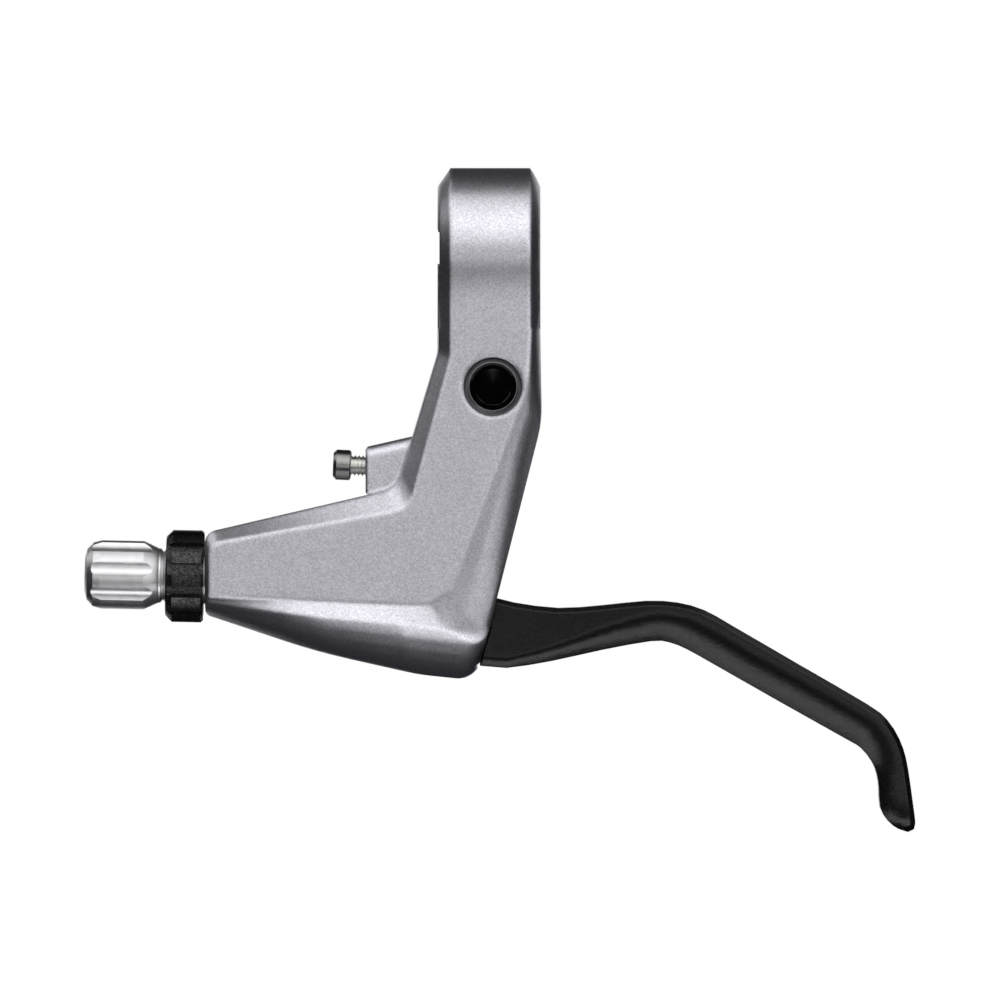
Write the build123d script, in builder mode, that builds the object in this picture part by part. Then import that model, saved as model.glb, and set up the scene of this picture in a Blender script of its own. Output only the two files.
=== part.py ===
from build123d import *
from math import acos, cos, hypot, radians, sin, tan
import os

os.makedirs("parts", exist_ok=True)

# Frame: X outboard along the handlebar, Y to the underside, Z from the blade to the bar.
# The origin is the centre of the clamp bore. Front means the upper face, at low Y.

# Handlebar clamp
bar_r = 11.1
clamp_wall = 3.5
band_r = bar_r + clamp_wall
band_left = -9.4
band_right = 9.4
band_roll = [(-1.9, 0.0), (-1.3, -0.8), (-0.65, -2.0), (0.0, -clamp_wall)]
notch_top = 3.05
notch_low = -3.2
notch_d = 0.35
slit = 3.0
ear_half = 6.5
ear_y = 22.0
ear_top = 9.0
ear_low = -10.0
ear_edge = 0.8

# Upper face, which leaves the band in a shallow hollow and then leans back
hollow_from = 16.0
face_lean = 4.0
hollow_r = 36.0
ridge_lean = 5.6
ridge_z = -13.0
bevel_d = 3.1
roll_from = 21.0
roll_to = 68.0
chin_z = -70.0
chin_radii = [1.2, 120, 40]
face_corner_r = 5.5
wall_corner_r = 4.4
right_r = 22

# Depth levels
slot_y0 = -5.4
slot_y1 = 6.4
back_y = 9.5
mid_y = 0.5
neck_top = -15.0
shell_top = -8.0
left_draft = 0.35
back_edge = 1.0
deep_y0 = 1.0
chin_y1 = 6.1

# Reach of cuts and outlines that run past the part
past_right = 25.0
past_low = -100.0
past_front = -20.0

# Pivot
pivot_x = 0.73
pivot_z = -25.6
axle_r = 2.5
axle_head_r = 5.32
axle_head_t = 2.6
cap_r = 4.31
bush_r = 3.4
bush_flange_r = 5.2
bush_flange_t = 0.6
hub_r = 6.2
hub_gap = 0.3
press_gap = 0.01
run_gap = 0.03
seat_gap = 0.02
cap_depth = 1.2
head_bevel = 0.85
head_proud = 0.2
seat_edge = 0.25
groove_r = 1.9
groove_gap = 0.3
axle_edge = 0.4
axle_stub = 1.0
bush_space = 1.0
clip_r = 4.2
clip_t = 0.7
clip_play = 0.1
clip_mouth = 3.4
rim_proud = 0.25
rim_edge = 0.35
rim_w = 0.4
dish_bevel = 0.3

# Cable line and adjuster, M10 x 1
cable_lean = 1.2
end_x = -52.0
cable_end_z = -60.35
thread_r = 5.0
thread_gap = 0.05
thread_pitch = 1.0
thread_in = -10.0
thread_show = 1.3
ring_gap = 0.35
ring_w = 6.9
ring_r = 8.45
ring_teeth = 12
ring_notch_w = 2.1
ring_notch_d = 0.9
ring_bevel = 1.2
ring_edge = 0.4
barrel_r = 6.28
barrel_len = 13.6
barrel_lip = 0.13
barrel_taper = 2.8
barrel_flutes = 8
flute_r = 2.2
flute_d = 0.75
casing_r = 3.05
casing_depth = 9.5
wire_r = 1.2
flute_start = 11.0
ring_start = 9.5
boss_in = -40.5

# Reach screw, M4
reach_lean = 2.5
reach_x = -22.6
reach_z = -40.05
reach_r = 1.95
reach_pitch = 0.7
reach_head_r = 2.78
reach_head_l = 3.3
reach_out = 2.7
reach_hex = 2.5
reach_hex_depth = 1.8
reach_head_bevel = 0.6
reach_head_edge = 0.3
reach_tip = 15.9
reach_gap = 0.05
boss_y0 = -6.0
boss_y1 = 6.0
boss_round = 2.0
boss_edge = 0.4
boss_outline = [(reach_x, -36.6), (-13.0, -34.4), (-12.0, -47.0), (-18.0, -47.0), (reach_x, -45.3)]
stop_half = 3.2
stop_gap = 0.1

# Lever arm, blade and cable nipple seat
arm_half = 4.5
blade_edge = 0.9
blade_turn = 0.45
blade_fall = 0.42
nipple_r = 3.6
nipple_x = -5.2
nipple_floor = -3.2
wire_slot = 2.4

# Clamp bolt, M5
bolt_y = 16.2
bolt_r = 2.5
bolt_head_r = 4.25
bolt_head_l = 5.0
bolt_hex = 4.0
bolt_hex_depth = 2.8
bolt_edge = 0.5
bolt_end = 0.5
bolt_gap = 0.25


# Helpers for points, planes and directions


def mix(a, b, share):
    return tuple(p + (q - p) * share for p, q in zip(a, b))


def crossing(a, b, c, d):
    rx, rz = b[0] - a[0], b[1] - a[1]
    sx, sz = d[0] - c[0], d[1] - c[1]
    share = ((c[0] - a[0]) * sz - (c[1] - a[1]) * sx) / (rx * sz - rz * sx)
    return (a[0] + rx * share, a[1] + rz * share)


def leaning(y, z, lean):
    turn = radians(lean)
    return Plane(origin=(0, y, z), x_dir=(1, 0, 0), z_dir=(0, -cos(turn), -sin(turn)))


def on_plane(plane, point):
    return (point[0], (point[1] - plane.origin.Z) / plane.y_dir.Z)


def roll(depth):
    start, end = radians(roll_from), radians(roll_to)
    turn = acos(cos(start) + (cos(end) - cos(start)) * depth)
    return (sin(turn) - sin(start)) / (sin(end) - sin(start))


def thread_ridges(start, end, pitch, radius):
    points = []
    for turn in range(round((end - start) / pitch)):
        at = start + turn * pitch
        points += [(at, radius), (at + pitch / 2, radius - 0.6 * pitch)]
    return points + [(at + pitch, radius)]


def across(plane):
    return Plane(origin=plane.origin, x_dir=(0, 1, 0), z_dir=plane.x_dir)


# Line of the upper face seen from the side

hollow_top = (-band_r * cos(radians(hollow_from)), -band_r * sin(radians(hollow_from)))
hollow_mid_turn = radians((hollow_from + face_lean) / 2)
hollow_end_turn = radians(face_lean)


def hollow(turn):
    start = radians(hollow_from)
    y = hollow_top[0] + hollow_r * (cos(turn) - cos(start))
    z = hollow_top[1] - hollow_r * (sin(start) - sin(turn))
    return (y, z)


face_y, face_z = hollow(hollow_end_turn)


def face_at(z):
    return face_y + (face_z - z) * tan(radians(face_lean))


# Cavity of the bracket in the front view: lever slot, and the cable pocket open to the back

slot_outline = [
    (past_right, -18.2),
    (-3.5, -18.2),
    (-6.4, -20.5),
    (-13.6, -44.5),
    (-13.6, -48),
    (past_right, -48),
]
slot_r = 2.0
pocket_top = [(past_right, -46), (-13.9, -46), (-16.5, -48.3), (boss_in, -53.2)]
pocket_front = [(boss_in, -65.2), (-30, -66.8), (-16, -68.8), (-5.2, -69.9)]
pocket_deep = [(boss_in, -67.0), (-30, -70.0), (-16, -72.2), (-6.5, -71.9), (-4.2, -72.3)]
pocket_right = [(-2.1, -76.9), (-2.1, past_low), (past_right, past_low)]

# Axes and planes of the turned pieces

head_front = face_at(pivot_z) - head_proud
head_back = head_front + axle_head_t
groove_y0 = back_y + groove_gap
groove_y1 = groove_y0 + clip_t + clip_play
axle_end = groove_y1 + axle_stub
hub_y0 = slot_y0 + hub_gap + bush_flange_t
hub_y1 = slot_y1 - hub_gap - bush_flange_t
turned_plane = Plane(origin=(pivot_x, 0, pivot_z), x_dir=(1, 0, 0), z_dir=(0, 0, 1))
pivot_axis = Axis((pivot_x, 0, pivot_z), (0, 1, 0))

cable_out = (-cos(radians(cable_lean)), 0, sin(radians(cable_lean)))
cable_plane = Plane(origin=(end_x, mid_y, cable_end_z), x_dir=cable_out, z_dir=(0, -1, 0))
cable_axis = Axis(cable_plane.origin, cable_out)
nipple_z = cable_end_z - (nipple_x - end_x) * tan(radians(cable_lean))
barrel_x0 = ring_gap + ring_w + thread_show
barrel_x1 = barrel_x0 + barrel_len
barrel_round = barrel_r - casing_r - barrel_lip
barrel_end = []
for turn in range(0, 91, 30):
    along = barrel_x1 - barrel_round * (1 - sin(radians(turn)))
    barrel_end.append((along, barrel_r - barrel_round * (1 - cos(radians(turn)))))
flute_at = barrel_r - flute_d + flute_r

reach_out_dir = (-cos(radians(reach_lean)), 0, sin(radians(reach_lean)))
reach_plane = Plane(origin=(reach_x, mid_y, reach_z), x_dir=reach_out_dir, z_dir=(0, -1, 0))
reach_axis = Axis(reach_plane.origin, reach_out_dir)

# Lever outline: arm inside the bracket, then the blade by its upper and lower edges

stop_x = reach_x - reach_out_dir[0] * (reach_tip + stop_gap)
stop_z = reach_z - reach_out_dir[2] * (reach_tip + stop_gap)
stop_dx = stop_half * sin(radians(reach_lean))
arm_outline = [
    (5.6, -24),
    (6.3, -28.5),
    (3.7, -50),
    (1.2, -61.5),
    (0.6, -66),
    (0.4, -73),
    (-1.5, -75.8),
    (-3.8, -71),
    (-5.6, -68.9),
    (-9.2, -67.0),
    (-10.9, -64.0),
    (-10.7, -57.5),
    (stop_x - stop_dx, stop_z - stop_half),
    (stop_x + stop_dx, stop_z + stop_half),
    (-5.0, -28),
    (-5.0, -24),
]

lip_relief = [(-12, -69.5), (0.5, -69.5), (-1.4, -76.4), (-2.6, -79), (-12, -79)]

# Each station of the blade: upper edge x and z, lower edge x and z, finger-side rounding, half depth
blade_stations = [
    (-1.4, -63.6, -1.7, -76.7, 2.0, arm_half),
    (4.6, -65.1, 3.2, -77.1, 2.2, 4.8),
    (12.7, -66.1, 11.6, -75.8, 3.3, 5.2),
    (20.7, -65.6, 20.7, -73.8, 4.6, 5.5),
    (28.8, -64.8, 29.6, -72.2, 5.6, 5.8),
    (34.5, -65.1, 33.0, -72.4, 6.0, 5.8),
    (39.5, -66.5, 36.2, -73.65, 6.4, 5.8),
    (44.7, -69.4, 40.8, -76.2, 6.5, 5.8),
    (57.0, -76.55, 53.1, -83.2, 6.5, 5.8),
    (69.3, -83.7, 65.4, -90.1, 6.3, 5.8),
    (72.9, -86.5, 68.2, -91.8, 5.9, 5.7),
    (75.2, -90.1, 70.2, -94.3, 5.4, 5.5),
    (76.4, -93.6, 71.1, -96.6, 5.0, 5.3),
    (77.1, -97.6, 71.45, -99.0, 4.7, 5.1),
    (77.6, -101.2, 71.7, -102.6, 4.8, 4.9),
    (78.0, -104.0, 73.1, -105.1, 3.6, 4.5),
    (78.15, -105.7, 75.0, -106.6, 2.2, 3.8),
    (77.9, -106.7, 76.8, -107.2, 0.8, 2.6),
]


def halfway(before, a, b, after):
    return tuple((9 * (p + q) - n - m) / 16 for n, p, q, m in zip(before, a, b, after))


def smoothed(stations):
    finer = list(stations[:2])
    for four in zip(stations, stations[1:], stations[2:], stations[3:]):
        finer += [halfway(*four), four[2]]
    return finer + [stations[-1]]


def blade_section(upper_x, upper_z, lower_x, lower_z, rounding, half):
    thick = hypot(lower_x - upper_x, lower_z - upper_z)
    dx, dz = (lower_x - upper_x) / thick, (lower_z - upper_z) / thick
    plane = Plane(origin=(upper_x, mid_y, upper_z), x_dir=(dx, 0, dz), z_dir=(-dz, 0, dx))
    edge = min(blade_edge, thick / 4)
    flat = half - rounding * blade_fall
    start, turn = thick - rounding, thick - rounding * (1 - blade_turn)
    with BuildSketch(plane) as drawn:
        with BuildLine():
            Line((0, half - edge), (0, edge - half))
            Line((0, edge - half), (edge, -half))
            Line((edge, -half), (start, -half))
            Bezier((start, -half), (turn, -half), (thick, -flat))
            Line((thick, -flat), (thick, flat))
            Bezier((thick, flat), (turn, half), (start, half))
            Line((start, half), (edge, half))
            Line((edge, half), (0, half - edge))
        make_face()
    return drawn.sketch


# Outlines of the bracket in the front view, clockwise from the neck

left_wall = [(-9.2, neck_top), (-9.2, -19.2), (-16.7, -44.1), (end_x, -52.3)]
left_face = [(-7.06, neck_top), (-7.06, -20.0), (-14.7, -48.0), (-51.3, -54.4)]
left_clear = [(-14, shell_top), (-14, -18), (-21, -41), (end_x - 4, -49)]
left_radii = [6, 4.5, 2.5]

chin_face = [(end_x - 4, -63.7), (-34.7, -64.6), (-16.2, -65.4)]
chin_ridge = [(end_x - 4, -64.3), (-34.7, -67.4), (-16.2, -69.1)]
chin_wall = [(end_x, -67.4), (-31.7, -74.2), (-13.0, -78.4)]
chin_clear = [(end_x - 4, -66.4), (-31.7, -74.5), (-13.0, -78.75)]
corner_face = (-7.9, -65.3)
corner_ridge = (-5.6, -70.2)
corner_wall = (-2.4, -79.5)
corner_clear = (-2.05, -79.85)
right_face = [(6.6, -25.9), (7.9, shell_top)]
right_ridge = [(7.4, -25.5), (8.0, shell_top)]
right_wall = [(9.7, -32.0), (band_right, neck_top)]
right_clear = [(10.05, -32.0), (9.65, shell_top)]


def outline(plane, points, radii):
    local = [on_plane(plane, p) for p in points]
    with BuildSketch(plane) as drawn:
        with BuildLine():
            FilletPolyline(*local, radius=radii)
            Line(local[-1], local[0])
        make_face()
    return drawn.sketch


def bracket_outline(plane, left, chin, corner, right, corner_r):
    points = left + chin + [corner] + right
    return outline(plane, points, left_radii + chin_radii + [corner_r, right_r])


def rolled_outline(plane, chin_share, right_share):
    chin = [mix(a, b, chin_share) for a, b in zip(chin_ridge, chin_clear)]
    right = [mix(a, b, right_share) for a, b in zip(right_ridge, right_clear)]
    chin_end = mix(corner_ridge, corner_clear, chin_share)
    right_end = mix(corner_ridge, corner_clear, right_share)
    corner = crossing(chin[2], chin_end, right[0], right_end)
    return bracket_outline(plane, left_clear, chin, corner, right, wall_corner_r)


def bevel_outline(plane, left, end):
    rest = [(end, past_low), (past_right, past_low), (past_right, shell_top)]
    return outline(plane, left + rest, left_radii + [0, 0])


face_plane = leaning(face_y, face_z, face_lean)
ridge_y = face_at(ridge_z)
chin_ridge_y = ridge_y + (ridge_z - chin_z) * tan(radians(ridge_lean))

rolled = []
for step in (0.0, 0.08, 0.22, 0.42, 0.68, 1.0):
    level_y = ridge_y + (slot_y0 - ridge_y) * step
    level_lean = ridge_lean * (1 - step)
    chin_y = level_y + (ridge_z - chin_z) * tan(radians(level_lean))
    chin_depth = (chin_y - chin_ridge_y) / (chin_y1 - chin_ridge_y)
    level = leaning(level_y, ridge_z, level_lean)
    rolled.append(rolled_outline(level, roll(chin_depth), roll(step)))
for step in (0.18, 0.38, 0.58, 0.79, 1.0):
    level_y = slot_y0 + (chin_y1 - slot_y0) * step
    chin_depth = (level_y - chin_ridge_y) / (chin_y1 - chin_ridge_y)
    rolled.append(rolled_outline(leaning(level_y, 0, 0), roll(chin_depth), 1))
rolled.append(rolled_outline(leaning(back_y + 2, 0, 0), 1, 1))

wall_up = [(left_wall[0][0], shell_top)] + left_wall[1:]
face_up = [(left_face[0][0], shell_top)] + left_face[1:]
past_face = [mix(a, b, 1.5) for a, b in zip(wall_up, face_up)]
wide_wall = [(x - 1.5, z + 1.5) for x, z in wall_up]
bevel_low = face_plane.offset(-bevel_d)
bevel_high = face_plane.offset(bevel_d / 2)

# Clamp band, neck and ears

with BuildPart() as band:
    with BuildSketch(Plane.XY):
        with BuildLine():
            Polyline((band_right, bar_r), (band_left, bar_r), (left_wall[0][0], band_r - bevel_d))
            Line((left_wall[0][0], band_r - bevel_d), (left_face[0][0], band_r))
            Polyline((left_face[0][0], band_r), *[(band_right + x, band_r + y) for x, y in band_roll])
        make_face()
    revolve(axis=Axis.X)
    with BuildLine(Plane.YZ) as neck_line:
        ThreePointArc(hollow_top, hollow(hollow_mid_turn), (face_y, face_z))
        Line((face_y, face_z), (face_at(neck_top - 3), neck_top - 3))
    neck_start = Plane(
        origin=(0, *hollow_top),
        x_dir=(1, 0, 0),
        z_dir=(0, sin(radians(hollow_from)), -cos(radians(hollow_from))),
    )
    with BuildSketch(neck_start):
        with BuildLine():
            Polyline((band_right, -clamp_wall), (band_left, -clamp_wall), (left_wall[0][0], -bevel_d))
            Line((left_wall[0][0], -bevel_d), (left_face[0][0], 0))
            Polyline((left_face[0][0], 0), *[(band_right + x, y) for x, y in band_roll])
        make_face()
    sweep(path=neck_line.wire())
    with BuildSketch(Plane.XY.offset(-7)):
        with Locations(((band_left + band_right) / 2, 0)):
            block = Rectangle(band_right - band_left, 2 * back_y)
        chamfer(block.vertices().group_by(Axis.Y)[-1], back_edge)
    extrude(amount=neck_top - 3 + 7)
    with BuildSketch(Plane.XY.offset(ear_low)) as ear:
        with Locations((0, ear_y / 2)):
            Rectangle(2 * ear_half, ear_y)
        fillet(ear.vertices().group_by(Axis.Y)[-1], ear_half - 1)
    extrude(amount=ear_top - ear_low)
    for level in (ear_low, ear_top):
        rim = band.edges().filter_by_position(Axis.Z, level - 0.01, level + 0.01)
        chamfer(rim.filter_by_position(Axis.Y, bar_r + 1.5, ear_y + 1), ear_edge)
    split(bisect_by=Plane.XY.offset(neck_top), keep=Keep.TOP)
    with BuildSketch(Plane.XZ):
        with Locations((band_left + notch_d, (notch_top + notch_low) / 2)):
            Rectangle(2, notch_top - notch_low, align=(Align.MAX, Align.CENTER))
    extrude(amount=band_r, both=True, mode=Mode.SUBTRACT)

# Boss of the reach screw

with BuildPart() as boss:
    with BuildSketch(Plane.XZ.offset(-boss_y0)):
        with BuildLine():
            Polyline(*boss_outline, close=True)
        make_face()
    extrude(amount=boss_y0 - boss_y1)
    fillet(boss.faces().sort_by(Axis.Z)[-1].edges().group_by(SortBy.LENGTH)[0], boss_round)
    chamfer(boss.faces().sort_by(Axis.X)[0].edges(), boss_edge)

# Bracket casting

with BuildPart() as bracket:
    rest_of_wall = [chin_wall, corner_wall, right_wall, wall_corner_r]
    drafted = [(x - left_draft, z) for x, z in left_wall[:3]] + left_wall[3:]
    wall_front = bracket_outline(leaning(past_front, 0, 0), left_wall, *rest_of_wall)
    wall_back = bracket_outline(leaning(back_y, 0, 0), drafted, *rest_of_wall)
    loft(sections=[wall_front, wall_back], ruled=True)
    face_edge = bracket_outline(face_plane, left_clear, chin_face, corner_face, right_face, face_corner_r)
    loft(sections=[face_edge] + rolled, ruled=True, mode=Mode.INTERSECT)
    bevels = [
        bevel_outline(bevel_high, past_face, end_x + 1.0),
        bevel_outline(bevel_low, wall_up, end_x),
        bevel_outline(leaning(back_y + 2, 0, 0), wide_wall, end_x - 1.5),
    ]
    loft(sections=bevels, ruled=True, mode=Mode.INTERSECT)
    chamfer(bracket.faces().sort_by(Axis.Y)[-1].edges().group_by(Axis.Z)[:-1], back_edge)
    add(band.part)
    add(boss.part)

    with BuildSketch(Plane.YZ.offset(band_left - 5)):
        Circle(bar_r)
        with Locations((ear_y, 0)):
            Rectangle(2 * ear_y, slit)
    extrude(amount=30, mode=Mode.SUBTRACT)
    with BuildSketch(Plane.XY.offset(ear_low - 1)):
        with Locations((0, bolt_y)):
            Circle(bolt_r + bolt_gap)
    extrude(amount=-ear_low + 1, mode=Mode.SUBTRACT)
    with BuildSketch(Plane.XY):
        with Locations((0, bolt_y)):
            Circle(bolt_r + press_gap)
    extrude(amount=ear_top + 1, mode=Mode.SUBTRACT)

    with BuildSketch(Plane.XZ.offset(-slot_y0)):
        with BuildLine():
            FilletPolyline(*slot_outline, radius=slot_r)
            Line(slot_outline[-1], slot_outline[0])
        make_face()
    extrude(amount=slot_y0 - slot_y1, mode=Mode.SUBTRACT)
    with BuildSketch(Plane.XZ.offset(-slot_y0)):
        with BuildLine():
            Polyline(*pocket_top, *pocket_front, (past_right, pocket_front[-1][1]), close=True)
        make_face()
    extrude(amount=slot_y0 - back_y - 5, mode=Mode.SUBTRACT)
    with BuildSketch(Plane.XZ.offset(-deep_y0)):
        with BuildLine():
            Polyline(*pocket_top, *pocket_deep, *pocket_right, close=True)
        make_face()
    extrude(amount=deep_y0 - back_y - 5, mode=Mode.SUBTRACT)

    with BuildSketch(Plane.XZ.offset(-back_y - 1)):
        with Locations((pivot_x, pivot_z)):
            Circle(axle_r + press_gap)
    extrude(amount=40, mode=Mode.SUBTRACT)
    with BuildSketch(Plane.XZ.offset(-head_back)):
        with Locations((pivot_x, pivot_z)):
            Circle(axle_head_r + seat_gap)
    extrude(amount=10, mode=Mode.SUBTRACT)
    with BuildSketch(face_plane):
        with Locations(on_plane(face_plane, (pivot_x, pivot_z))):
            Circle(axle_head_r + seat_gap + seat_edge)
    extrude(amount=-seat_edge, taper=45, mode=Mode.SUBTRACT)
    with BuildSketch(across(cable_plane).offset(5)):
        Circle(thread_r + thread_gap)
    extrude(amount=end_x - boss_in - 8, mode=Mode.SUBTRACT)
    with BuildSketch(across(reach_plane).offset(1)):
        Circle(reach_r + reach_gap)
    extrude(amount=-14, mode=Mode.SUBTRACT)
bracket.part.label = "bracket_body"

# Lever

with BuildPart() as lever:
    with BuildSketch(Plane.XZ.offset(-(mid_y - arm_half))):
        with BuildLine():
            Polyline(*arm_outline, close=True)
        make_face()
    extrude(amount=-2 * arm_half)
    with BuildSketch(Plane.XZ.offset(-hub_y0)):
        with Locations((pivot_x, pivot_z)):
            Circle(hub_r)
    extrude(amount=hub_y0 - hub_y1)
    loft(sections=[blade_section(*station) for station in smoothed(blade_stations)], ruled=True)
    with BuildSketch(Plane.XZ.offset(-hub_y0)):
        with Locations((pivot_x, pivot_z)):
            Circle(bush_r + press_gap)
    extrude(amount=hub_y0 - hub_y1, mode=Mode.SUBTRACT)
    with BuildSketch(Plane.XZ.offset(-nipple_floor)):
        with Locations((nipple_x, nipple_z)):
            Circle(nipple_r)
    extrude(amount=nipple_floor - 10, mode=Mode.SUBTRACT)
    with BuildSketch(Plane.XZ.offset(-(mid_y - wire_slot / 2))):
        with Locations((nipple_x - 5, nipple_z)):
            Rectangle(10, wire_slot)
    extrude(amount=-10, mode=Mode.SUBTRACT)
    with BuildSketch(Plane.XZ.offset(-(deep_y0 + hub_gap))):
        with BuildLine():
            Polyline(*lip_relief, close=True)
        make_face()
    extrude(amount=10, mode=Mode.SUBTRACT)
lever.part.label = "lever_blade"

# Pivot axle with its cap, bushes and clip

with BuildPart() as axle:
    with BuildSketch(turned_plane):
        with BuildLine():
            Polyline(
                (0, head_front + cap_depth),
                (cap_r + seat_gap, head_front + cap_depth),
                (cap_r + seat_gap, head_front),
                (axle_head_r - head_bevel, head_front),
                (axle_head_r, head_front + head_bevel),
                (axle_head_r, head_back),
                (axle_r, head_back),
                (axle_r, groove_y0),
                (groove_r, groove_y0),
                (groove_r, groove_y1),
                (axle_r, groove_y1),
                (axle_r, axle_end - axle_edge),
                (axle_r - axle_edge, axle_end),
                (0, axle_end),
                close=True,
            )
        make_face()
    revolve(axis=pivot_axis)
axle.part.label = "pivot_axle"

with BuildPart() as cap:
    with BuildSketch(turned_plane):
        with BuildLine():
            Polyline(
                (0, head_front + cap_depth),
                (cap_r, head_front + cap_depth),
                (cap_r, head_front - rim_proud + rim_edge),
                (cap_r - rim_edge, head_front - rim_proud),
                (cap_r - rim_edge - rim_w, head_front - rim_proud),
                (cap_r - rim_edge - rim_w - dish_bevel, head_front - rim_proud + dish_bevel),
                (0, head_front - rim_proud + dish_bevel / 2),
                close=True,
            )
        make_face()
    revolve(axis=pivot_axis)
cap.part.label = "pivot_cap"


def flanged_bush(flange_end, flange_face, inner_end):
    with BuildPart() as bush:
        with BuildSketch(turned_plane):
            with BuildLine():
                Polyline(
                    (axle_r + run_gap, flange_end),
                    (bush_flange_r, flange_end),
                    (bush_flange_r, flange_face),
                    (bush_r, flange_face),
                    (bush_r, inner_end),
                    (axle_r + run_gap, inner_end),
                    close=True,
                )
            make_face()
        revolve(axis=pivot_axis)
    return bush


bush_front = flanged_bush(hub_y0 - bush_flange_t, hub_y0, mid_y - bush_space / 2)
bush_front.part.label = "pivot_bush_front"
bush_rear = flanged_bush(hub_y1 + bush_flange_t, hub_y1, mid_y + bush_space / 2)
bush_rear.part.label = "pivot_bush_rear"

with BuildPart() as clip:
    with BuildSketch(Plane.XZ.offset(-groove_y0 - clip_play / 2)):
        with Locations((pivot_x, pivot_z)):
            Circle(clip_r)
            Circle(groove_r + seat_gap, mode=Mode.SUBTRACT)
        with Locations((pivot_x, pivot_z - clip_r)):
            Rectangle(clip_mouth, 2 * clip_r, mode=Mode.SUBTRACT)
    extrude(amount=-clip_t)
clip.part.label = "pivot_clip"

# Cable adjuster and its lock ring

with BuildPart() as adjuster:
    with BuildSketch(cable_plane):
        with BuildLine():
            Polyline(
                (thread_in, wire_r),
                (thread_in, thread_r),
                *thread_ridges(ring_gap + ring_w, barrel_x0, thread_pitch, thread_r),
                (barrel_x0, thread_r),
                (barrel_x0 + barrel_taper, barrel_r),
                barrel_end[0],
            )
            Polyline(
                *barrel_end,
                (barrel_x1, casing_r),
                (barrel_x1 - casing_depth, casing_r),
                (barrel_x1 - casing_depth, wire_r),
                (thread_in, wire_r),
            )
        make_face()
    revolve(axis=cable_axis)
    with BuildSketch(across(cable_plane).offset(barrel_x0)):
        with PolarLocations(flute_at, barrel_flutes, start_angle=flute_start):
            Circle(flute_r)
    extrude(amount=barrel_len + 1, mode=Mode.SUBTRACT)
adjuster.part.label = "cable_adjuster"

with BuildPart() as ring:
    with BuildSketch(cable_plane):
        with BuildLine():
            Polyline(
                (ring_gap, thread_r + thread_gap),
                (ring_gap, ring_r - ring_edge),
                (ring_gap + ring_edge, ring_r),
                (ring_gap + ring_w - ring_bevel, ring_r),
                (ring_gap + ring_w, ring_r - ring_bevel),
                (ring_gap + ring_w, thread_r + thread_gap),
                close=True,
            )
        make_face()
    revolve(axis=cable_axis)
    with BuildSketch(across(cable_plane)):
        with PolarLocations(ring_r, ring_teeth, start_angle=ring_start):
            Rectangle(2 * ring_notch_d, ring_notch_w)
    extrude(amount=ring_w + 1, mode=Mode.SUBTRACT)
ring.part.label = "lock_ring"

# Reach screw

with BuildPart() as reach:
    with BuildSketch(reach_plane):
        with BuildLine():
            Polyline(
                (-reach_tip, 0),
                (-reach_tip, reach_r),
                *thread_ridges(reach_out - 4 * reach_pitch, reach_out, reach_pitch, reach_r),
                (reach_out, reach_head_r - reach_head_edge),
                (reach_out + reach_head_edge, reach_head_r),
                (reach_out + reach_head_l - reach_head_bevel, reach_head_r),
                (reach_out + reach_head_l, reach_head_r - reach_head_bevel),
                (reach_out + reach_head_l, 0),
                close=True,
            )
        make_face()
    revolve(axis=reach_axis)
    with BuildSketch(across(reach_plane).offset(reach_out + reach_head_l)):
        RegularPolygon(reach_hex / 2, 6, major_radius=False)
    extrude(amount=-reach_hex_depth, mode=Mode.SUBTRACT)
reach.part.label = "reach_screw"

# Clamp bolt

with BuildPart() as bolt:
    with BuildSketch(Plane.XY.offset(ear_low)):
        with Locations((0, bolt_y)):
            Circle(bolt_head_r)
    extrude(amount=-bolt_head_l)
    chamfer(bolt.edges().group_by(Axis.Z)[0], bolt_edge)
    with BuildSketch(Plane.XY.offset(ear_low)):
        with Locations((0, bolt_y)):
            Circle(bolt_r)
    extrude(amount=ear_top + bolt_end - ear_low)
    with BuildSketch(Plane.XY.offset(ear_low - bolt_head_l)):
        with Locations((0, bolt_y)):
            RegularPolygon(bolt_hex / 2, 6, major_radius=False)
    extrude(amount=bolt_hex_depth, mode=Mode.SUBTRACT)
bolt.part.label = "clamp_bolt"

export_step(bracket.part, "parts/bracket_body.step")
export_step(lever.part, "parts/lever_blade.step")
export_step(axle.part, "parts/pivot_axle.step")
export_step(cap.part, "parts/pivot_cap.step")
export_step(bush_front.part, "parts/pivot_bush_front.step")
export_step(bush_rear.part, "parts/pivot_bush_rear.step")
export_step(clip.part, "parts/pivot_clip.step")
export_step(adjuster.part, "parts/cable_adjuster.step")
export_step(ring.part, "parts/lock_ring.step")
export_step(reach.part, "parts/reach_screw.step")
export_step(bolt.part, "parts/clamp_bolt.step")
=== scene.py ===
import math

import bpy
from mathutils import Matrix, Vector


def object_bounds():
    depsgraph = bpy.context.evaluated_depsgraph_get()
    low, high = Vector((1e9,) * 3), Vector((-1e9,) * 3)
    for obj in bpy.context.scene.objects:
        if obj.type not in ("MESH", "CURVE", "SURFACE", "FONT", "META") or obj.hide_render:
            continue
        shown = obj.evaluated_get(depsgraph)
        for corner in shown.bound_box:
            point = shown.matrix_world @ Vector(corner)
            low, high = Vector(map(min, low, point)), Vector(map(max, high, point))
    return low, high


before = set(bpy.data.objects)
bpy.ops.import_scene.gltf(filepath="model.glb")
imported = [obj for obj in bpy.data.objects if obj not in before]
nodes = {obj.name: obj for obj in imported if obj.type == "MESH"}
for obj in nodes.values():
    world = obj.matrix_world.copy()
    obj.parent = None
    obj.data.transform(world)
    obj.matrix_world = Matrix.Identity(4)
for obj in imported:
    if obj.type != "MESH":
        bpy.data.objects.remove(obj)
cad_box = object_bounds()

MM = 0.001

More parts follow.
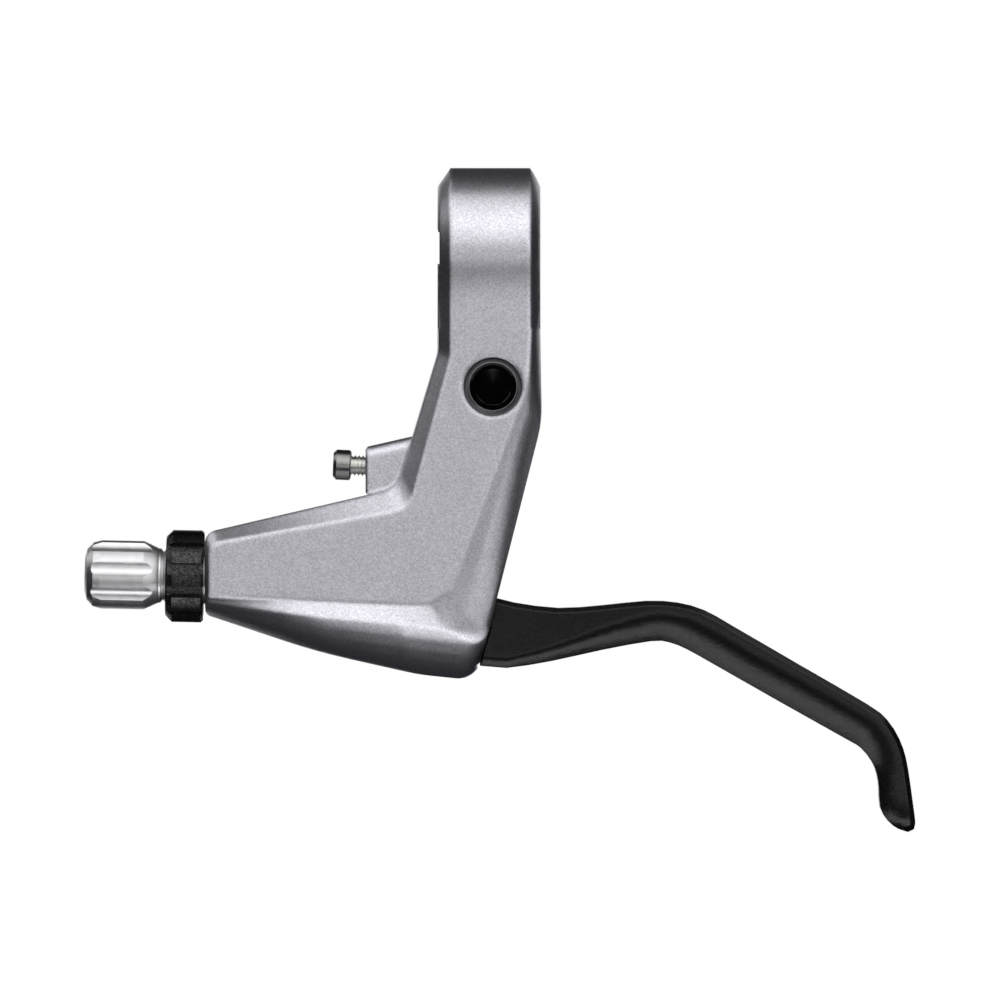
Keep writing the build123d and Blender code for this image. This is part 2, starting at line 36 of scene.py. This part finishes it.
# Shading of the solids: edges that turn by more degrees than this stay sharp, and corners this close are one
SHARP_ANGLE = 17.0
WELD = 0.001 * MM

# View of the photograph: its width and the place of the bar's axis, in pixels
PHOTO_SIZE = 1000
PIXELS_PER_MM = 5.45
BAR_PIXEL = (489.0, 247.6)

# Camera: the sensor in millimetres, and distances in metres
SENSOR = 36.0
CAMERA_DISTANCE = 2.5
VIEW_DEPTH = 100

# Lean of the two turned axes, in degrees
ADJUSTER_LEAN = 1.2
SCREW_LEAN = 2.5

# Painted shade on the reach screw: its head is darkened up to this X, and its thread is left bright
SCREW_HEAD_X = -25.45 * MM
SCREW_HEAD_BLUR = 0.1 * MM
SCREW_HEAD_SHADE = 0.35

# Textures: most values of a noise lie in this span, and the bands of a wave at scale 1 repeat at this length
NOISE_SPAN = (0.3, 0.7)
WAVE_LENGTH = math.tau / 20
EDGE_SAMPLES = 6
WHITE = (1.0, 1.0, 1.0)

# Studio, in metres
FLOOR_DROP = 0.19
FLOOR_RADIUS = 0.65
FLOOR_SIDES = 64
FLOOR_WHITE = (0.9, 0.9, 0.9)
FLOOR_GLOSS = 0.2
TENT = 0.78
TENT_GAP = 0.012
TENT_BLACK = (0.002, 0.002, 0.006)
MATT = 0.9
AMBIENT = 0.38
OBJECT_CENTRE = Vector((0.002, 0.0, -0.046))

# Soft boxes: the elevations and azimuths that each one spans in degrees, its distance and its radiance.
# Azimuth 0 is the camera's side, and azimuths grow to the photograph's right.
SOFT_BOXES = {
    "upper_box": ((8, 82), (-58, 58), 0.45, 1.25),
    "upper_core": ((25, 55), (-57, 57), 0.5, 0.5),
    "front_low": ((-18, -6), (-46, 60), 0.66, 1.12),
    "front_left": ((-6, 8), (-46, -10), 0.66, 1.0),
    "front_right": ((-6, 8), (10, 60), 0.66, 1.0),
    "right_panel": ((-32, 22), (24, 60), 0.66, 0.5),
    "lower_box": ((-74, -47), (-66, 46), 0.25, 2.25),
    "left_high": ((20, 62), (-125, -75), 0.6, 1.1),
    "right_high": ((30, 65), (75, 120), 0.6, 0.6),
    "right_fill": ((-52, -20), (85, 130), 0.66, 0.3),
    "right_card": ((-27, -5), (96, 126), 0.15, 0.17),
    "left_low": ((-60, -30), (-110, -70), 0.5, 0.9),
    "rear_panel": ((-38, 18), (146, 214), 0.66, 0.95),
}


# Node helpers


def new_material(name):
    material = bpy.data.materials.new(name)
    material.use_nodes = True
    tree = material.node_tree
    return material, tree, tree.nodes["Principled BSDF"]


def place(tree):
    return tree.nodes.new("ShaderNodeTexCoord").outputs["Object"]


def noise(tree, size, detail=2.0):
    node = tree.nodes.new("ShaderNodeTexNoise")
    node.inputs["Scale"].default_value = 1 / size
    node.inputs["Detail"].default_value = detail
    tree.links.new(place(tree), node.inputs["Vector"])
    return node.outputs["Fac"]


def flakes(tree, size):
    node = tree.nodes.new("ShaderNodeTexVoronoi")
    node.inputs["Scale"].default_value = 1 / size
    tree.links.new(place(tree), node.inputs["Vector"])
    split = tree.nodes.new("ShaderNodeSeparateColor")
    tree.links.new(node.outputs["Color"], split.inputs["Color"])
    return split.outputs["Red"]


def tones(tree, value, colour, dark, light, span=(0.0, 1.0)):
    node = tree.nodes.new("ShaderNodeValToRGB")
    for element, position, factor in zip(node.color_ramp.elements, span, (dark, light)):
        element.position = position
        element.color = (*(channel * factor for channel in colour), 1)
    tree.links.new(value, node.inputs["Fac"])
    return node.outputs["Color"]


def spread(tree, value, low, high):
    node = tree.nodes.new("ShaderNodeMapRange")
    node.inputs["To Min"].default_value = low
    node.inputs["To Max"].default_value = high
    tree.links.new(value, node.inputs["Value"])
    return node.outputs["Result"]


def multiply(tree, a, b):
    node = tree.nodes.new("ShaderNodeMix")
    node.data_type = "RGBA"
    node.blend_type = "MULTIPLY"
    node.inputs["Factor"].default_value = 1.0
    tree.links.new(a, node.inputs["A"])
    tree.links.new(b, node.inputs["B"])
    return node.outputs["Result"]


# Painted shade: a mask that darkens the reach screw's head below SCREW_HEAD_X and leaves the thread bright
def painted_head_shade(tree):
    split = tree.nodes.new("ShaderNodeSeparateXYZ")
    tree.links.new(place(tree), split.inputs["Vector"])
    node = tree.nodes.new("ShaderNodeMapRange")
    node.inputs["From Min"].default_value = SCREW_HEAD_X - SCREW_HEAD_BLUR
    node.inputs["From Max"].default_value = SCREW_HEAD_X + SCREW_HEAD_BLUR
    node.inputs["To Min"].default_value = SCREW_HEAD_SHADE
    tree.links.new(split.outputs["X"], node.inputs["Value"])
    return node.outputs["Result"]


def bump(tree, shader, height, depth, strength, edge=None):
    node = tree.nodes.new("ShaderNodeBump")
    if edge:
        rounded = tree.nodes.new("ShaderNodeBevel")
        rounded.samples = EDGE_SAMPLES
        rounded.inputs["Radius"].default_value = edge
        tree.links.new(rounded.outputs["Normal"], node.inputs["Normal"])
    node.inputs["Distance"].default_value = depth
    node.inputs["Strength"].default_value = strength
    tree.links.new(height, node.inputs["Height"])
    tree.links.new(node.outputs["Normal"], shader.inputs["Normal"])


# Finishes


def silver_paint():
    material, tree, shader = new_material("silver_paint")
    silver = (0.60, 0.593, 0.64)
    grain = tones(tree, flakes(tree, size=0.18 * MM), silver, dark=0.77, light=1.22)
    cloud = tones(tree, noise(tree, size=9 * MM), WHITE, dark=0.96, light=1.0, span=NOISE_SPAN)
    roughness = spread(tree, noise(tree, size=0.5 * MM), low=0.34, high=0.4)
    tree.links.new(multiply(tree, grain, cloud), shader.inputs["Base Color"])
    tree.links.new(roughness, shader.inputs["Roughness"])
    shader.inputs["Metallic"].default_value = 1.0
    skin = noise(tree, size=0.35 * MM, detail=3.0)
    bump(tree, shader, skin, depth=0.008 * MM, strength=0.5, edge=1.3 * MM)
    return material


def black_paint():
    material, tree, shader = new_material("black_paint")
    black = (0.0022, 0.0022, 0.0023)
    grain = tones(tree, flakes(tree, size=0.3 * MM), black, dark=0.6, light=1.5)
    roughness = spread(tree, noise(tree, size=0.6 * MM, detail=3.0), low=0.2, high=0.27)
    gloss = spread(tree, flakes(tree, size=0.2 * MM), low=0.24, high=0.38)
    tree.links.new(grain, shader.inputs["Base Color"])
    tree.links.new(roughness, shader.inputs["Roughness"])
    tree.links.new(gloss, shader.inputs["Specular IOR Level"])
    skin = noise(tree, size=0.4 * MM, detail=3.0)
    bump(tree, shader, skin, depth=0.035 * MM, strength=0.8, edge=0.4 * MM)
    return material


def turned_metal(name, colour, roughness, groove, depth, lean=0.0, head_shade=False):
    material, tree, shader = new_material(name)
    mapping = tree.nodes.new("ShaderNodeMapping")
    mapping.inputs["Rotation"].default_value = (0, math.radians(lean), 0)
    tree.links.new(place(tree), mapping.inputs["Vector"])
    lines = tree.nodes.new("ShaderNodeTexWave")
    lines.bands_direction = "X"
    lines.inputs["Scale"].default_value = WAVE_LENGTH / groove
    lines.inputs["Distortion"].default_value = 1.5
    lines.inputs["Detail"].default_value = 2.0
    tree.links.new(mapping.outputs["Vector"], lines.inputs["Vector"])
    cloud = noise(tree, size=2 * MM, detail=3.0)
    tint = tones(tree, cloud, colour, dark=0.88, light=1.0, span=(0.3, 0.75))
    # Painted shade on the screw's head, multiplied into its colour
    if head_shade:
        tint = multiply(tree, tint, painted_head_shade(tree))
    tree.links.new(tint, shader.inputs["Base Color"])
    tree.links.new(spread(tree, cloud, *roughness), shader.inputs["Roughness"])
    shader.inputs["Metallic"].default_value = 1.0
    bump(tree, shader, lines.outputs["Fac"], depth, strength=0.5)
    return material


def bright_aluminium():
    return turned_metal(
        "bright_aluminium",
        colour=(0.74, 0.74, 0.75),
        roughness=(0.33, 0.43),
        groove=0.09 * MM,
        depth=0.006 * MM,
        lean=ADJUSTER_LEAN,
    )


def dark_steel():
    return turned_metal(
        "dark_steel",
        colour=(0.22, 0.22, 0.225),
        roughness=(0.25, 0.34),
        groove=0.07 * MM,
        depth=0.004 * MM,
    )


def screw_steel():
    return turned_metal(
        "screw_steel",
        colour=(0.85, 0.85, 0.82),
        roughness=(0.24, 0.34),
        groove=0.08 * MM,
        depth=0.005 * MM,
        lean=SCREW_LEAN,
        # The head is darkened with painted shade
        head_shade=True,
    )


def bolt_steel():
    return turned_metal(
        "bolt_steel",
        colour=(0.5, 0.5, 0.51),
        roughness=(0.28, 0.38),
        groove=0.09 * MM,
        depth=0.005 * MM,
    )


def ring_plastic():
    material, tree, shader = new_material("ring_plastic")
    black = (0.003, 0.003, 0.0031)
    tint = tones(tree, noise(tree, size=0.5 * MM), black, dark=0.7, light=1.4, span=NOISE_SPAN)
    roughness = spread(tree, noise(tree, size=1.5 * MM), low=0.26, high=0.36)
    gloss = spread(tree, flakes(tree, size=0.22 * MM), low=0.1, high=0.9)
    tree.links.new(tint, shader.inputs["Base Color"])
    tree.links.new(roughness, shader.inputs["Roughness"])
    tree.links.new(gloss, shader.inputs["Specular IOR Level"])
    bump(tree, shader, noise(tree, size=0.3 * MM), depth=0.06 * MM, strength=0.8)
    return material


def gloss_black():
    material, tree, shader = new_material("gloss_black")
    black = (0.0007, 0.0007, 0.0007)
    tint = tones(tree, noise(tree, size=3 * MM), black, dark=0.7, light=1.3, span=NOISE_SPAN)
    roughness = spread(tree, noise(tree, size=2 * MM, detail=3.0), low=0.03, high=0.07)
    tree.links.new(tint, shader.inputs["Base Color"])
    tree.links.new(roughness, shader.inputs["Roughness"])
    shader.inputs["Specular IOR Level"].default_value = 0.25
    bump(tree, shader, noise(tree, size=1.2 * MM), depth=0.004 * MM, strength=0.3)
    return material


def bush_plastic():
    material, tree, shader = new_material("bush_plastic")
    grey = (0.05, 0.05, 0.05)
    tint = tones(tree, noise(tree, size=0.6 * MM), grey, dark=0.8, light=1.2, span=NOISE_SPAN)
    roughness = spread(tree, noise(tree, size=1 * MM), low=0.45, high=0.6)
    tree.links.new(tint, shader.inputs["Base Color"])
    tree.links.new(roughness, shader.inputs["Roughness"])
    bump(tree, shader, noise(tree, size=0.3 * MM), depth=0.01 * MM, strength=0.4)
    return material


finishes = {
    "bracket_body": silver_paint(),
    "lever_blade": black_paint(),
    "cable_adjuster": bright_aluminium(),
    "lock_ring": ring_plastic(),
    "pivot_cap": gloss_black(),
    "pivot_axle": dark_steel(),
    "reach_screw": screw_steel(),
    "clamp_bolt": bolt_steel(),
}
finishes["pivot_clip"] = finishes["clamp_bolt"]
finishes["pivot_bush_front"] = bush_plastic()
finishes["pivot_bush_rear"] = finishes["pivot_bush_front"]


# Shading of the solids: smooth faces, with edges sharp only where they turn by more than the limit


def smooth_by_angle(limit):
    group = bpy.data.node_groups.new("smooth_by_angle", "GeometryNodeTree")
    for way in ("INPUT", "OUTPUT"):
        group.interface.new_socket("Geometry", in_out=way, socket_type="NodeSocketGeometry")
    start = group.nodes.new("NodeGroupInput")
    weld = group.nodes.new("GeometryNodeMergeByDistance")
    weld.inputs["Distance"].default_value = WELD
    plain = group.nodes.new("GeometryNodeRemoveAttribute")
    plain.inputs["Name"].default_value = "custom_normal"
    soft_faces = group.nodes.new("GeometryNodeSetShadeSmooth")
    soft_faces.domain = "FACE"
    angle = group.nodes.new("GeometryNodeInputMeshEdgeAngle")
    gentle = group.nodes.new("FunctionNodeCompare")
    gentle.operation = "LESS_THAN"
    gentle.inputs["B"].default_value = math.radians(limit)
    soft_edges = group.nodes.new("GeometryNodeSetShadeSmooth")
    soft_edges.domain = "EDGE"
    end = group.nodes.new("NodeGroupOutput")
    chain = [start, weld, plain, soft_faces, soft_edges, end]
    for before, after in zip(chain, chain[1:]):
        group.links.new(before.outputs[0], after.inputs[0])
    group.links.new(angle.outputs["Unsigned Angle"], gentle.inputs["A"])
    group.links.new(gentle.outputs["Result"], soft_edges.inputs["Shade Smooth"])
    return group


smooth = smooth_by_angle(SHARP_ANGLE)
for name, material in finishes.items():
    node = nodes[name]
    node.data.materials.clear()
    node.data.materials.append(material)
    node.modifiers.new("smooth", "NODES").node_group = smooth
    node.modifiers.new("weighted", "WEIGHTED_NORMAL").keep_sharp = True


# Camera at the photograph's angle, with its frame

photo_mm = PHOTO_SIZE / PIXELS_PER_MM
camera = bpy.data.cameras.new("camera")
camera.sensor_width = SENSOR
camera.lens = SENSOR * CAMERA_DISTANCE / (photo_mm * MM)
camera.clip_end = VIEW_DEPTH
viewer = bpy.data.objects.new("camera", camera)
middle = PHOTO_SIZE / 2
viewer.location = (
    (middle - BAR_PIXEL[0]) / PIXELS_PER_MM * MM,
    -CAMERA_DISTANCE,
    (BAR_PIXEL[1] - middle) / PIXELS_PER_MM * MM,
)
viewer.rotation_euler = (math.pi / 2, 0, 0)
bpy.context.scene.collection.objects.link(viewer)
bpy.context.scene.camera = viewer


# Studio: a pale floor, soft boxes, and a dark tent that only reflections see


def plain_surface(name, colour, gloss):
    material, _, shader = new_material(name)
    shader.inputs["Base Color"].default_value = (*colour, 1)
    shader.inputs["Roughness"].default_value = MATT
    shader.inputs["Specular IOR Level"].default_value = gloss
    return material


def soft_box(name, elevations, azimuths, distance, radiance):
    up = math.radians(sum(elevations) / 2)
    side = math.radians(sum(azimuths) / 2)
    tall = math.radians(elevations[1] - elevations[0])
    wide = math.radians(azimuths[1] - azimuths[0])
    lamp = bpy.data.lights.new(name, "AREA")
    lamp.shape = "RECTANGLE"
    lamp.size = 2 * distance * math.cos(up) * math.tan(wide / 2)
    lamp.size_y = 2 * distance * math.tan(tall / 2)
    lamp.energy = radiance * math.pi * lamp.size * lamp.size_y
    box = bpy.data.objects.new(name, lamp)
    away = Vector((math.sin(side) * math.cos(up), -math.cos(side) * math.cos(up), math.sin(up)))
    box.location = OBJECT_CENTRE + away * distance
    box.rotation_euler = away.to_track_quat("Z", "Y").to_euler()
    box.visible_camera = False
    bpy.context.scene.collection.objects.link(box)


floor_z = cad_box[0].z - FLOOR_DROP
turns = [math.tau * step / FLOOR_SIDES for step in range(FLOOR_SIDES)]
rim = [(FLOOR_RADIUS * math.cos(turn), FLOOR_RADIUS * math.sin(turn), floor_z) for turn in turns]
floor_mesh = bpy.data.meshes.new("floor")
floor_mesh.from_pydata(rim, [], [range(FLOOR_SIDES)])
floor_mesh.materials.append(plain_surface("floor", FLOOR_WHITE, FLOOR_GLOSS))
floor = bpy.data.objects.new("floor", floor_mesh)
bpy.context.scene.collection.objects.link(floor)

across = (-TENT, TENT)
upright = (floor_z + TENT_GAP, TENT)
corners = [(x, y, z) for x in across for y in across for z in upright]
sides = [(0, 1, 3, 2), (4, 6, 7, 5), (0, 4, 5, 1), (2, 3, 7, 6), (0, 2, 6, 4), (1, 5, 7, 3)]
tent_mesh = bpy.data.meshes.new("dark_tent")
tent_mesh.from_pydata(corners, [], sides)
tent_mesh.materials.append(plain_surface("dark_tent", TENT_BLACK, gloss=0.0))
tent = bpy.data.objects.new("dark_tent", tent_mesh)
tent.visible_camera = False
tent.visible_diffuse = False
tent.visible_shadow = False
tent.visible_transmission = False
bpy.context.scene.collection.objects.link(tent)

for name, box in SOFT_BOXES.items():
    soft_box(name, *box)


# Surround: white to the camera, and a dimmer light on matt surfaces

world = bpy.data.worlds.new("surround")
world.use_nodes = True
sky = world.node_tree
backdrop = sky.nodes["Background"]
backdrop.inputs["Color"].default_value = (*WHITE, 1)
backdrop.inputs["Strength"].default_value = 1.0
ambient = sky.nodes.new("ShaderNodeBackground")
ambient.inputs["Color"].default_value = (*WHITE, 1)
ambient.inputs["Strength"].default_value = AMBIENT
rays = sky.nodes.new("ShaderNodeLightPath")
seen = rays.outputs["Is Camera Ray"]
for kind in ("Is Glossy Ray", "Is Transmission Ray"):
    either = sky.nodes.new("ShaderNodeMath")
    either.operation = "MAXIMUM"
    sky.links.new(seen, either.inputs[0])
    sky.links.new(rays.outputs[kind], either.inputs[1])
    seen = either.outputs["Value"]
choose = sky.nodes.new("ShaderNodeMixShader")
sky.links.new(seen, choose.inputs["Fac"])
sky.links.new(ambient.outputs["Background"], choose.inputs[1])
sky.links.new(backdrop.outputs["Background"], choose.inputs[2])
sky.links.new(choose.outputs["Shader"], sky.nodes["World Output"].inputs["Surface"])
bpy.context.scene.world = world
bpy.context.scene.view_settings.view_transform = "Standard"
